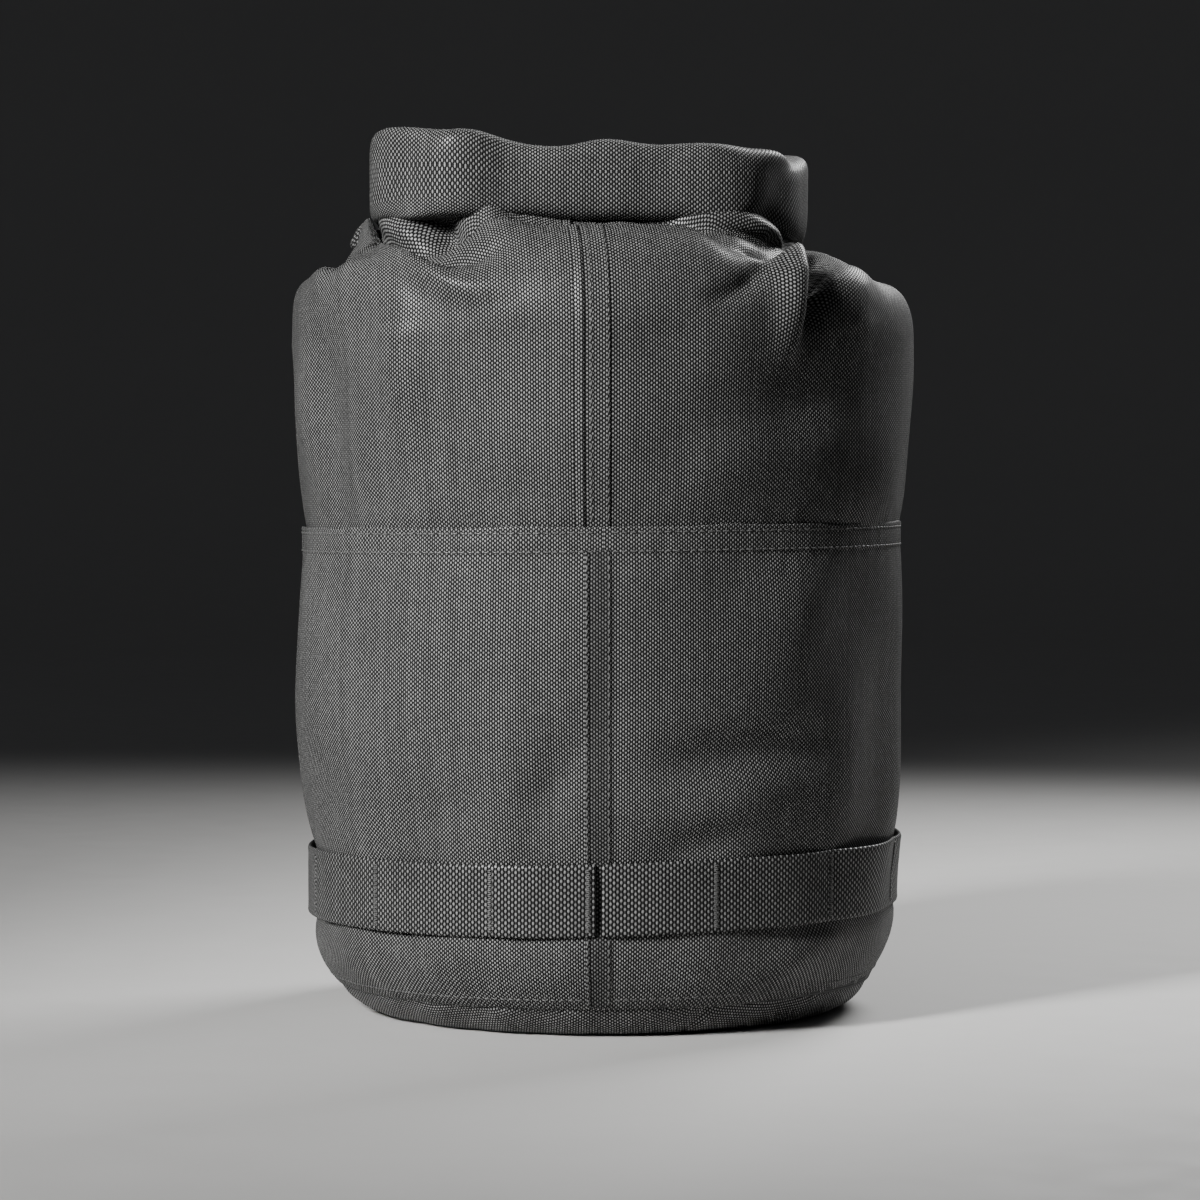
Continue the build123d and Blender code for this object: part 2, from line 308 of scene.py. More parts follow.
class Nodes:
    """Adds and joins the nodes of one tree."""

    def __init__(self, tree):
        self.tree = tree

    def add(self, kind, values=None, **settings):
        node = self.tree.nodes.new("ShaderNode" + kind)
        for key, value in settings.items():
            setattr(node, key, value)
        for key, value in (values or {}).items():
            self.feed(node.inputs[key], value)
        return node

    def feed(self, socket, value):
        if isinstance(value, bpy.types.NodeSocket):
            self.tree.links.new(value, socket)
        else:
            socket.default_value = value

    def math(self, operation, *values, clamp=False):
        node = self.add("Math", operation=operation, use_clamp=clamp)
        for socket, value in zip(node.inputs, values):
            self.feed(socket, value)
        return node.outputs[0]

    def plus(self, a, b, clamp=False):
        return self.math("ADD", a, b, clamp=clamp)

    def minus(self, a, b):
        return self.math("SUBTRACT", a, b)

    def times(self, a, b, clamp=False):
        return self.math("MULTIPLY", a, b, clamp=clamp)

    def ramp(self, value, low, high, to_low=0.0, to_high=1.0):
        node = self.add("MapRange", {"Value": value, "From Min": low, "From Max": high,
                                     "To Min": to_low, "To Max": to_high},
                        interpolation_type="SMOOTHSTEP")
        return node.outputs[0]

    def blend(self, share, first, second):
        node = self.add("Mix", data_type="RGBA")
        self.feed(node.inputs["Factor"], share)
        self.feed(node.inputs["A"], first)
        self.feed(node.inputs["B"], second)
        return node.outputs["Result"]

    def relief(self, shader, height, strength, depth):
        bump = self.add("Bump", {"Height": height, "Strength": strength, "Distance": depth * MM})
        self.feed(shader.inputs["Normal"], bump.outputs[0])

    def noise(self, vector, scale, detail=2.0):
        return self.add("TexNoise", {"Vector": vector, "Scale": scale, "Detail": detail}).outputs["Fac"]


def shader_group(name, inputs, outputs):
    """A new node group with float or vector inputs and float outputs, and its two ends."""
    tree = bpy.data.node_groups.new(name, "ShaderNodeTree")
    for label, kind, value in inputs:
        socket = tree.interface.new_socket(label, in_out="INPUT", socket_type="NodeSocket" + kind)
        if kind == "Float":
            socket.default_value = value
    for label in outputs:
        tree.interface.new_socket(label, in_out="OUTPUT", socket_type="NodeSocketFloat")
    nodes = Nodes(tree)
    source = tree.nodes.new("NodeGroupInput")
    sink = tree.nodes.new("NodeGroupOutput")
    return tree, nodes, source.outputs, sink.inputs


@once
def staggered_weave():
    """Upright yarns that dip under level ones in turn: the weave's height, its masks and each yarn's tone."""
    tree, n, given, out = shader_group(
        "Staggered weave",
        [("Vector", "Vector", None), ("Across", "Float", MM), ("Up", "Float", MM), ("Uneven", "Float", 0.3),
         ("Dip", "Float", 2.8)],
        ["Height", "Upright", "Level", "Tone"])
    split = n.add("SeparateXYZ", {0: given["Vector"]}).outputs
    sway = n.minus(n.noise(given["Vector"], 260.0), 0.5)
    sway = n.times(sway, given["Uneven"])
    u = n.plus(n.math("DIVIDE", split["X"], given["Across"]), sway)
    v = n.plus(n.math("DIVIDE", split["Y"], given["Up"]), sway)
    column = n.math("FLOOR", u)
    fu = n.minus(n.minus(u, column), 0.5)
    turn = n.times(n.plus(v, column), 0.5)
    pick = n.math("FLOOR", turn)
    ft = n.minus(n.minus(turn, pick), 0.5)
    over = n.math("COSINE", n.times(ft, given["Dip"]))
    body = n.math("SQRT", n.minus(1.0, n.times(n.times(fu, fu), 3.8)))
    upright = n.times(body, over, clamp=True)
    gap = n.times(n.minus(0.5, n.math("ABSOLUTE", ft)), 2.0)
    fall = n.times(n.times(gap, gap), 5.0)
    round_level = n.math("SQRT", n.math("MAXIMUM", n.minus(1.0, fall), 0.0))
    level = n.times(round_level, n.math("COSINE", n.times(fu, 2.9)), clamp=True)
    height = n.math("MAXIMUM", upright, n.times(level, 0.66))
    cell = n.add("CombineXYZ", {0: column, 1: pick}).outputs[0]
    grain = n.add("TexWhiteNoise", {"Vector": cell}, noise_dimensions="3D").outputs["Value"]
    streak = n.add("TexWhiteNoise", {"W": column}, noise_dimensions="1D").outputs["Value"]
    n.feed(out["Height"], height)
    n.feed(out["Upright"], n.ramp(upright, 0.58, 0.98))
    n.feed(out["Level"], n.ramp(level, 0.62, 1.0))
    n.feed(out["Tone"], n.plus(n.times(grain, 0.6), n.times(streak, 0.4)))
    return tree


@once
def handling_wear():
    """Slow changes of tone, rubbed patches and specks of lint, over the place they are given."""
    tree, n, given, out = shader_group(
        "Handling wear", [("Vector", "Vector", None), ("Size", "Float", 0.03)], ["Tone", "Rubbed", "Lint"])
    scale = n.math("DIVIDE", 1.0, given["Size"])
    broad = n.noise(given["Vector"], scale, 3.0)
    fine = n.noise(given["Vector"], n.times(scale, 7.0), 2.0)
    n.feed(out["Tone"], n.plus(n.times(broad, 0.7), n.times(fine, 0.3)))
    n.feed(out["Rubbed"], n.ramp(fine, 0.52, 0.72))
    specks = n.add("TexVoronoi", {"Vector": given["Vector"], "Scale": 420.0}).outputs["Distance"]
    thin = n.times(n.ramp(specks, 0.09, 0.04), n.ramp(broad, 0.55, 0.66))
    n.feed(out["Lint"], thin)
    return tree


# ---- materials ------------------------------------------------------------------------------
def blank(name):
    """A material with only its shader and output, a way to add nodes to it, and the shader."""
    material = bpy.data.materials.new(name)
    material.use_nodes = True
    shader = next(node for node in material.node_tree.nodes if node.type == "BSDF_PRINCIPLED")
    return material, Nodes(material.node_tree), shader


def group(n, tree, values):
    return n.add("Group", values, node_tree=tree).outputs


def weave_material(name, colour, gap, across, up, bump, level=0.1, uneven=0.3, dip=2.8):
    """Woven nylon: bright yarns on dark gaps, each yarn its own tone, glossy where they stand up."""
    material, n, shader = blank(name)
    yarns = n.add("UVMap", uv_map="Yarn").outputs[0]
    place = n.add("NewGeometry").outputs["Position"]
    weave = group(n, staggered_weave(), {"Vector": yarns, "Across": across, "Up": up, "Uneven": uneven, "Dip": dip})
    wear = group(n, handling_wear(), {"Vector": place, "Size": 0.035})
    # Crown mask for the painted highlight and the gloss: level yarns get only a small share, so they are painted
    # darker than upright ones.
    crown = n.math("MAXIMUM", weave["Upright"], n.times(weave["Level"], level))
    shade = n.times(crown, n.ramp(weave["Tone"], 0.0, 1.0, 0.7, 1.1))
    shade = n.times(shade, n.ramp(wear["Tone"], 0.3, 0.7, 0.84, 1.06), clamp=True)
    shade = n.plus(shade, n.times(wear["Lint"], 0.25), clamp=True)
    # Painted shade: the gap colour between the yarns. Painted highlight: the lit yarn colour on their tops.
    n.feed(shader.inputs["Base Color"], n.blend(shade, (*gap, 1.0), (*colour, 1.0)))
    n.feed(shader.inputs["Roughness"], n.minus(0.72, n.times(wear["Rubbed"], 0.08)))
    n.feed(shader.inputs["Coat Weight"], n.times(crown, 0.75))
    n.relief(shader, weave["Height"], 1.0, bump)
    shader.inputs["Coat Roughness"].default_value = 0.36
    shader.inputs["Specular IOR Level"].default_value = 0.12
    return material


@once
def cloth_material():
    cloth = bpy.context.scene.sack_cloth
    return weave_material("packcloth weave", cloth.colour, cloth.gap, cloth.warp, cloth.weft, 0.30)


@once
def painted_shade_strip_material():
    cloth = bpy.context.scene.sack_cloth
    # The cloth weave at half its yarn colour: painted shade on the lower seam strip.
    colour = [0.5 * c for c in cloth.colour]
    return weave_material("seam strip weave in painted shade", colour, cloth.gap, cloth.warp, cloth.weft, 0.22)


@once
def webbing_material():
    webbing = bpy.context.scene.sack_webbing
    # The cloth's gap colour is painted shade between the webbing's yarns.
    gap = bpy.context.scene.sack_cloth.gap
    return weave_material("webbing weave", webbing.colour, gap, webbing.rib, webbing.pick, 0.42,
                          level=0.15, uneven=0.2, dip=2.5)


@once
def thread_material():
    """Bonded thread: two plies twisted, with a slight gloss."""
    material, n, shader = blank("sewing thread")
    along = n.add("UVMap", uv_map="Yarn").outputs[0]
    twist = n.add("TexWave", {"Vector": along, "Scale": 520.0, "Distortion": 0.4}, bands_direction="DIAGONAL")
    place = n.add("NewGeometry").outputs["Position"]
    wear = group(n, handling_wear(), {"Vector": place, "Size": 0.01})
    shade = n.times(n.ramp(twist.outputs["Fac"], 0.1, 0.8, 0.45, 1.0),
                   n.ramp(wear["Tone"], 0.3, 0.7, 0.75, 1.0))
    colour = bpy.context.scene.sack_thread.colour
    n.feed(shader.inputs["Base Color"], n.blend(shade, (0.015, 0.015, 0.015, 1.0), (*colour, 1.0)))
    n.feed(shader.inputs["Roughness"], n.ramp(twist.outputs["Fac"], 0.0, 1.0, 0.62, 0.42))
    n.relief(shader, twist.outputs["Fac"], 0.7, 0.1)
    return material


def moulded_material(name, colour, roughness, grain):
    """Moulded plastic: fine spark texture, rubbed to a slight shine here and there."""
    material, n, shader = blank(name)
    place = n.add("NewGeometry").outputs["Position"]
    wear = group(n, handling_wear(), {"Vector": place, "Size": 0.012})
    spark = n.noise(place, grain, 4.0)
    shade = n.times(n.ramp(wear["Tone"], 0.25, 0.75, 0.75, 1.0), n.ramp(spark, 0.2, 0.8, 0.8, 1.0))
    tint = n.blend(shade, tuple(0.5 * c for c in colour) + (1.0,), (*colour, 1.0))
    n.feed(shader.inputs["Base Color"], n.blend(n.times(wear["Lint"], 0.5), tint, (0.2, 0.2, 0.2, 1.0)))
    n.feed(shader.inputs["Roughness"], n.minus(roughness, n.times(wear["Rubbed"], 0.16)))
    n.relief(shader, spark, 0.5, 0.12)
    return material


@once
def hidden_tape_material():
    """The binding inside, a plain tape whose ribs run up it."""
    material, n, shader = blank("ribbed binding")
    place = n.add("NewGeometry").outputs["Position"]
    ribs = n.add("TexWave", {"Vector": place, "Scale": 300.0, "Distortion": 0.3}, bands_direction="Z")
    wear = group(n, handling_wear(), {"Vector": place, "Size": 0.02})
    shade = n.times(ribs.outputs["Fac"], n.ramp(wear["Tone"], 0.3, 0.7, 0.7, 1.0))
    n.feed(shader.inputs["Base Color"], n.blend(shade, (0.006, 0.006, 0.006, 1.0), (0.05, 0.05, 0.05, 1.0)))
    n.feed(shader.inputs["Roughness"], n.ramp(wear["Tone"], 0.2, 0.8, 0.7, 0.85))
    n.relief(shader, ribs.outputs["Fac"], 0.8, 0.15)
    return material


# ---- lower tube and base --------------------------------------------------------------------
LOWER_SHAPE = ((11.0, 100.6), (18, 105.0), (26, 108.2), (32, 109.3), (40, 108.6), (60, 108.9), (69, 110.6),
               (80, 112.0), (100, 113.3), (125, 114.0), (150, 113.8), (168, 113.0), (183, 111.9))
LOWER_LEAN = ((11, 0.0), (60, -0.5), (80, 0.8), (115, 2.0), (145, 1.2), (183, 0.6))
LOWER_DENTS = (             # (angle, height), (width, height), depth, slant
    ((27, 101), (34, 8), 4.2, 4),
    ((24, 83), (30, 9), -2.4, 4),
    ((19, 70), (18, 6), 3.0, 12),
    ((-9, 92), (8, 20), 2.2, -32),
    ((64, 128), (26, 34), 3.4, 12),
    ((36, 150), (24, 18), -2.2, 20),
    ((-50, 122), (34, 42), -1.8, 0),
    ((-68, 88), (28, 14), 2.2, -8),
    ((-30, 82), (22, 10), 1.2, 10),
    ((36, 25), (26, 9), -2.6, 14),
    ((44, 37), (14, 4), 2.4, 10),
    ((12, 29), (12, 9), 0.9, 20),
    ((-33, 27), (30, 9), -0.8, -6),
    ((120, 110), (40, 30), 3.2, 20),
    ((165, 140), (44, 20), -1.8, -10),
    ((-130, 105), (38, 40), 3.0, -14),
    ((200, 75), (30, 18), 2.4, 8),
)


def lower_radius(angle, height):
    lean = through(LOWER_LEAN, height) * -np.sin(np.radians(angle))
    radius = through(LOWER_SHAPE, height) + lean
    for place, size, depth, slant in LOWER_DENTS:
        radius = radius + dent(angle, height, place, size, depth, slant)
    free = smooth((height - BASE_SEAM) / 14) * smooth((WAIST - height) / 16)
    near_seam = np.exp(-np.abs(height - WAIST + LAP) / 7) + np.exp(-np.abs(height - BASE_SEAM) / 6)
    pucker = ripple(angle, height, 7, 11, 0.16) * near_seam
    return radius + ripple(angle, height, 3, 62, 0.8) * free + pucker


def tilt(points):
    """The whole foot leans a little, so that level seams rise slightly to the right."""
    points[..., 2] += 0.011 * points[..., 0] * smooth((points[..., 2] - 4) / 14) \
        + 0.013 * points[..., 0] * np.exp(-((points[..., 2] - BAND_LOW - 12) / 26) ** 2)
    return points


def tube(heights, radius_at):
    """Rows and columns of an upright tube, and its uv."""
    a, z = np.meshgrid(ANGLES, heights)
    r = radius_at(a, z)
    x, y = plan(a, r)
    points = tilt(np.stack([x, y, z], -1))
    return points, cross(ROUND, heights)


class SACK_OT_lower_cloth(bpy.types.Operator):
    """Lower tube of cloth, dented by what is packed in it and puckered along its seams"""
    bl_idname = "sack.lower_cloth"
    bl_label = "Lower cloth"

    def execute(self, context):
        heights = np.concatenate([[BASE_SEAM - 0.8], np.linspace(BASE_SEAM, WAIST, 62)])
        points, uv = tube(heights, lower_radius)
        points[0, :, :2] *= 0.985
        grid = Grid(points, uv)
        grid.heights = heights
        grids["lower"] = grid
        piece = woven("lower_cloth", points, uv, cloth_material())
        settle(piece, "sack", "cloth", "lower_body")
        return {"FINISHED"}


class SACK_OT_base_cloth(bpy.types.Operator):
    """Round base panel, flat where it stands and turned up at its edge to the base seam"""
    bl_idname = "sack.base_cloth"
    bl_label = "Base cloth"

    def execute(self, context):
        turn = np.radians(np.linspace(-90, -24, 12))
        radii = np.concatenate([np.linspace(0.5, 80, 14), 84 + 17.2 * np.cos(turn), [98.6]])
        heights = np.concatenate([np.zeros(14), 19.2 + 19.2 * np.sin(turn), [BASE_SEAM + 0.6]])
        a, r = np.meshgrid(ANGLES, radii)
        z = np.repeat(heights[:, None], COLUMNS, 1)
        crease = dent(a, z, (20, 6), (3.0, 9), 1.6, -35) + dent(a, z, (-26, 8), (4.0, 8), 0.9, 30)
        soft = smooth((r - 80) / 8) * smooth((BASE_SEAM + 1 - z) / 4)
        r = r + soft * (crease + ripple(a, z, 11, 40, 0.5))
        x, y = plan(a, r)
        points = tilt(np.stack([x, y, z], -1))
        spread = lengths(np.stack([radii, heights], -1))[:, None] / np.maximum(radii, 1)[:, None]
        uv = np.stack([x * spread, y * spread], -1)
        uv = np.concatenate([uv, uv[:, :1]], 1)
        piece = woven("base_cloth", points, uv, cloth_material(), caps=True)
        settle(piece, "sack", "cloth", "base_panel")
        return {"FINISHED"}


# ---- the ring's way round -------------------------------------------------------------------
CORNER_START = RING_SIDE - RING_CORNER
CORNER_LONG = RING_CORNER * math.pi / 2
SIDE_LONG = 2 * (RING_FRONT - RING_CORNER)
ROLL_END = CORNER_START + CORNER_LONG * 1.5 + SIDE_LONG
BACK_START = ROLL_END + CORNER_LONG / 2


def ring_point(s, out=0.0):
    """(x, y) at s along the middle of the ring from its front centre, moved outwards."""
    a, out = np.broadcast_arrays(np.abs(np.asarray(s, float)), np.asarray(out, float))
    low = RING_FRONT - RING_CORNER
    first = (a - CORNER_START) / RING_CORNER
    second = (a - CORNER_START - CORNER_LONG - SIDE_LONG) / RING_CORNER
    bend = RING_CORNER + out
    zones = [a < CORNER_START, first < math.pi / 2, second < 0, second < math.pi / 2]
    x = np.select(zones, [a, CORNER_START + bend * np.sin(first), RING_SIDE + out,
                          CORNER_START + bend * np.cos(second)], CORNER_START - (a - BACK_START))
    y = np.select(zones, [-RING_FRONT - out, -low - bend * np.cos(first),
                          a - CORNER_START - CORNER_LONG - low, low + bend * np.sin(second)],
                  RING_FRONT + out)
    return np.where(np.asarray(s) < 0, -x, x) + RING_X, y


def ring_frame(s):
    """Points along the ring's middle, and the outward direction at each, in plan."""
    x, y = ring_point(s)
    xo, yo = ring_point(s, 1.0)
    return np.stack([x, y], -1), unit(np.stack([xo - x, yo - y], -1))


def ring_bow(s):
    """How far the soft ring strays from its even shape: rounder at the right, full at the left."""
    return (-4.5 * np.exp(-((s - 60) / 26) ** 2) + 3.2 * np.exp(-((s - 112) / 30) ** 2)
            + 1.2 * np.exp(-((s + 62) / 24) ** 2) - 0.8 * np.exp(-((s + 8) / 20) ** 2))


# ---- upper tube, shoulders and neck ---------------------------------------------------------
UPPER_SHAPE = ((174, 110.6), (180, 111.2), (184, 112.1), (196, 113.8), (212, 115.5), (232, 116.6), (250, 116.8))
SHOULDER = 250.0
SHOULDERS = (               # facing direction, inner radius, rise, squareness, slope to the crown
    ("front", 80.0, 40.0, 2.2, 0.0),
    ("right", 104.0, 20.0, 2.3, 0.42),
    ("left", 99.0, 25.0, 4.6, 0.40),
)
UPPER_DENTS = (
    ((40, 226), (24, 15), 4.8, 18),
    ((22, 203), (26, 12), -2.2, 24),
    ((60, 200), (22, 18), -2.0, 0),
    ((-60, 216), (17, 44), 5.0, 6),
    ((-38, 232), (10, 38), -2.4, 4),
    ((-14, 230), (16, 30), 0.7, 0),
    ((12, 248), (14, 16), 1.2, -24),
    ((118, 215), (36, 26), 3.2, 14),
    ((170, 228), (40, 22), -1.6, 0),
    ((-135, 205), (34, 30), 3.0, -12),
)
# Creases of the neck, each as (angle, distance below the roll, height, width) points.
NECK_FOLDS = (
    ((-64, 5, 0.5, 9), (-59, 9, 5.0, 9), (-55, 14, 10.0, 8), (-49, 21, 12.5, 7), (-43, 30, 11.5, 6),
     (-38, 38, 9.0, 5.5), (-33, 45, 6.5, 5.5), (-28, 49, 4.5, 5.5), (-21, 51, 2.0, 6), (-14, 52, 0.0, 6)),
    ((-68, 24, 5.0, 12), (-60, 34, 7.5, 13), (-50, 50, 5.0, 13), (-42, 60, 3.0, 12), (-38, 80, 1.5, 12),
     (-37, 108, 0.0, 12)),
    ((-46, 14, -3.5, 5), (-40, 25, -6.5, 6), (-33, 32, -8.0, 6), (-27, 36, -6.5, 6), (-20, 37, -3.5, 6),
     (-13, 38, 0.0, 6)),
    ((-44, 1, 3.0, 4), (-38, 4, 5.0, 6), (-33, 9, 5.0, 5.5), (-31, 20, 1.0, 5)),
    ((-27, 1, -13.0, 5.5), (-26, 8, -12.0, 5), (-24.5, 15, -7.0, 4), (-24, 22, 0.0, 4)),
    ((-18, 3, 5.5, 6), (-17, 15, 5.0, 8), (-15, 32, 2.0, 9), (-14, 46, 0.0, 10)),
    ((-8, 2, -2.0, 4), (1, 2, -7.0, 4.5), (8, 2, -7.0, 4.5), (12, 5, -5.0, 5), (17, 12, -4.5, 5), (21, 24, -4.0, 5),
     (24, 37, -2.5, 6), (26, 46, 0.0, 6)),
    ((19, 5, 3.0, 6), (26, 8, 6.5, 7), (31, 11, 7.5, 6.5), (35, 14, 6.0, 5.5), (38, 17, 1.0, 4)),
    ((26, 34, -2.0, 4), (30, 36, -8.0, 4.5), (34, 32, -8.5, 4), (39, 24, -5.0, 4)),
    ((40, 28, 6.0, 6), (37, 41, 9.0, 6), (35.5, 54, 9.0, 6), (35, 64, 7.5, 6), (35, 75, 4.0, 7), (37, 88, 0.0, 8)),
    ((47, 30, -6.0, 5), (43.5, 42, -14.0, 4.5), (42, 53, -18.0, 4), (41, 63, -17.0, 3.6), (40, 71, -9.0, 3.6),
     (38, 79, -2.5, 5), (35, 88, 0.0, 5)),
    ((54, 34, 4.0, 11), (53, 55, 5.0, 12), (51, 72, 3.0, 12), (53, 92, 0.0, 12)),
    ((29, 48, -3.0, 4), (26, 54, -4.0, 3.5), (22, 58.5, -3.0, 4), (17, 63, 0.0, 5)),
    ((-57, 64, -2.0, 4), (-61, 60, -3.5, 4), (-67, 52, -2.5, 5), (-74, 44, 0.0, 6)),
    ((-62, 67, 2.5, 6), (-67, 62, 2.5, 6), (-74, 56, 0.0, 7)),
    ((-78, 34, -4.0, 7), (-84, 52, -3.0, 7), (-88, 70, 0.0, 8)),
    ((-92, 44, 2.0, 12), (-98, 62, 2.0, 12), (-102, 84, 0.0, 12)),
    ((84, 40, -2.5, 9), (90, 52, -3.0, 9), (98, 66, -2.5, 9), (104, 82, 0.0, 10)),
    ((110, 52, 1.0, 12), (114, 66, 2.5, 12), (120, 92, 0.0, 12)),
    ((-112, 48, -2.0, 10), (-118, 70, -3.0, 11), (-124, 100, 0.0, 12)),
    ((-132, 46, 1.5, 14), (-140, 78, 3.0, 14), (-146, 120, 0.0, 16)),
    ((130, 50, -2.0, 11), (138, 80, -3.0, 12), (146, 118, 0.0, 14)),
    ((156, 62, 1.0, 14), (160, 95, 3.0, 16), (164, 140, 0.0, 16)),
    ((-166, 56, -2.0, 12), (-168, 95, -3.0, 13), (-172, 140, 0.0, 14)),
)
TUCK = 296.0               # where the neck's cloth goes into the roll
LAYER = 5.0                # the front and back of the neck go in this far off the roll's middle


def shoulder_height(x, y):
    """Height of the packed shoulders over a point in plan."""
    r = np.hypot(x, y)
    right = smooth((x / np.maximum(r, 1) - 0.30) / 0.6)
    left = smooth((-x / np.maximum(r, 1) - 0.34) / 0.5)
    shares = {"right": right, "left": left, "front": 1 - right - left}
    height = np.zeros_like(r)
    for facing, inner, rise, square, slope in SHOULDERS:
        turned = np.clip((r - inner) / (SKIN - inner), 0, 1)
        lip = rise * (1 - turned**square) ** (1 / square)
        climb = slope * np.clip(inner - r, 0, None)
        height = height + shares[facing] * np.minimum(lip + climb, CROWN + 2 - SHOULDER)
    return SHOULDER + height + 1.6 * np.exp(-(r / 42) ** 2)


def upper_wall(angle, height):
    radius = through(UPPER_SHAPE, height)
    for place, size, depth, slant in UPPER_DENTS:
        radius = radius + dent(angle, height, place, size, depth, slant)
    pucker = ripple(angle, height, 17, 11, 0.16) * np.exp(-np.abs(height - WAIST) / 7)
    return radius + ripple(angle, height, 13, 60, 0.7) * smooth((height - WAIST) / 14) + pucker


def neck_column(angle, wall_heights, rows):
    """One upright yarn: up the wall, over the shoulder and across to the roll."""
    turn = (angle + 180) % 360 - 180
    front = abs(turn) <= 90
    s = turn / 90 * ROLL_END if front else math.copysign((180 - abs(turn)) / 90 * ROLL_END, turn)
    side = LAYER * float(np.clip(3 * math.cos(math.radians(turn)), -1, 1))
    goal = np.array(ring_point(s, side + ring_bow(s)))
    wall_r = upper_wall(np.full(len(wall_heights), turn), wall_heights)
    wx, wy = plan(turn, wall_r)
    wall = np.stack([wx, wy, wall_heights], -1)
    share = np.linspace(0, 1, 260)[1:] ** 1.6
    start = np.array(plan(turn, SKIN))
    way = start + (goal - start) * share[:, None]
    z = shoulder_height(way[:, 0], way[:, 1])
    left_over = np.linalg.norm(way - goal, axis=1)
    z = z + (TUCK - z) * smooth(1 - left_over / 8.0)
    edge = wall[-1, :2] - start
    way = way + edge * np.exp(-((z - SHOULDER) / 9.0))[:, None]
    over = np.concatenate([wall[-1:], np.concatenate([way, z[:, None]], 1)])
    far = lengths(over)
    even = np.linspace(0, far[-1], rows)
    over = np.stack([np.interp(even, far, over[:, k]) for k in range(3)], -1)
    return np.concatenate([wall, over[1:]])


def pressed(points, below, folds, depth):
    """Raises ridges and sinks creases along folds drawn as (angle, below, height, width)."""
    normals = Grid(points, None).normals
    lift = np.zeros(points.shape[:2])
    for fold in folds:
        knots = np.array(fold, float)
        t = np.linspace(0, len(knots) - 1, 14 * (len(knots) - 1) + 1)
        drawn = np.stack([through(np.stack([np.arange(len(knots)), knots[:, k]], -1), t) for k in range(4)], -1)
        column = column_of(drawn[:, 0]) % COLUMNS
        nearest = np.round(column).astype(int) % COLUMNS
        row = [int(np.argmin(np.abs(below[:, c] - k))) for c, k in zip(nearest, drawn[:, 1])]
        line = points[row, nearest]
        gap = np.linalg.norm(points[:, :, None] - line[None, None], axis=-1)
        nearest_k = np.argmin(gap, -1)
        reach = np.take_along_axis(gap, nearest_k[..., None], -1)[..., 0]
        high, wide = drawn[nearest_k, 2], drawn[nearest_k, 3]
        sharp = np.where(high < 0, 1.35, 2.1)
        lift = lift + high * np.exp(-((reach / wide) ** sharp) * 1.3)
    for _ in range(2):
        lift[1:-1] = (lift[:-2] + 2 * lift[1:-1] + lift[2:]) / 4
        lift = (np.roll(lift, 1, 1) + 2 * lift + np.roll(lift, -1, 1)) / 4
    keep = smooth(below / 2.5)
    return points + normals * (lift * keep * depth)[..., None]


def upper_points():
    """The upper tube before it is creased, and how far each point is below the roll."""
    wall_heights = np.linspace(WAIST - 6.5, SHOULDER, 30)
    points = tilt(np.stack([neck_column(math.degrees(k * STEP), wall_heights, 60) for k in range(COLUMNS)], 1))
    along = lengths(points)
    return points, along, along[-1:] - along


class SACK_OT_upper_cloth(bpy.types.Operator):
    """Upper tube of cloth with its shoulders and the creased neck that goes up into the roll"""
    bl_idname = "sack.upper_cloth"
    bl_label = "Upper cloth"

    def execute(self, context):
        points, along, below = upper_points()
        points = pressed(points, below, NECK_FOLDS, context.scene.sack_cloth.folds)
        along = lengths(points)
        up = np.concatenate([along, along[:, :1]], 1)
        uv = np.stack([np.repeat(ROUND[None], len(points), 0), up + WAIST], -1)
        grid = Grid(points, uv)
        grid.below = below
        grids["upper"] = grid
        piece = woven("upper_cloth", points, uv, cloth_material())
        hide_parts("upper_body", "neck")
        stretch_with_neck(piece)
        return {"FINISHED"}


def stretch_with_neck(piece):
    """The neck's cloth draws taut between the sack and the roll when the ring is lifted."""
    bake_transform(piece)


# ---- rolled mouth ---------------------------------------------------------------------------
ROLL_TOP = ((-177, 1.0), (-120, 2.0), (-84, 3.0), (-62, 4.2), (-44, 3.0), (-20, -1.8), (-10, -3.0), (6, -1.6),
            (36, -1.6), (62, -3.2), (84, -4.5), (110, -2.0), (150, 0.0), (177, 0.5))
ROLL_BOTTOM = ((-177, 0.0), (-84, 0.2), (-40, 1.0), (0, 0.0), (36, -0.6), (62, -2.0), (84, -5.0), (112, -7.5),
               (150, -4.0), (177, -1.5))


def roll_section(a, s):
    """The roll's rounded cross-section, as (outward, up) at angles a and places s."""
    flat = 2 / (4.4 + 2.6 * smooth((-30 - s) / 30))
    across = np.sign(np.cos(a)) * np.abs(np.cos(a)) ** flat
    up = np.sign(np.sin(a)) * np.abs(np.sin(a)) ** flat
    top, bottom = through(ROLL_TOP, s), through(ROLL_BOTTOM, s)
    rise = up * ROLL_HALF[1] + np.where(up > 0, up * top, -up * bottom)
    return across * ROLL_HALF[0], rise


def roll_points(a, s, swell):
    """Points of the roll's surface at angles a round it and places s along it."""
    middle, outward = ring_frame(s)
    middle = middle + outward * ring_bow(s)[:, None]
    a, place = np.meshgrid(a, s)
    out, rise = roll_section(a, place)
    out, rise = out * (1 + swell / 12), rise * (1 + swell / 15)
    flat = middle[:, None] + outward[:, None] * out[..., None]
    return np.concatenate([flat, (RING_Z + rise)[..., None]], -1)


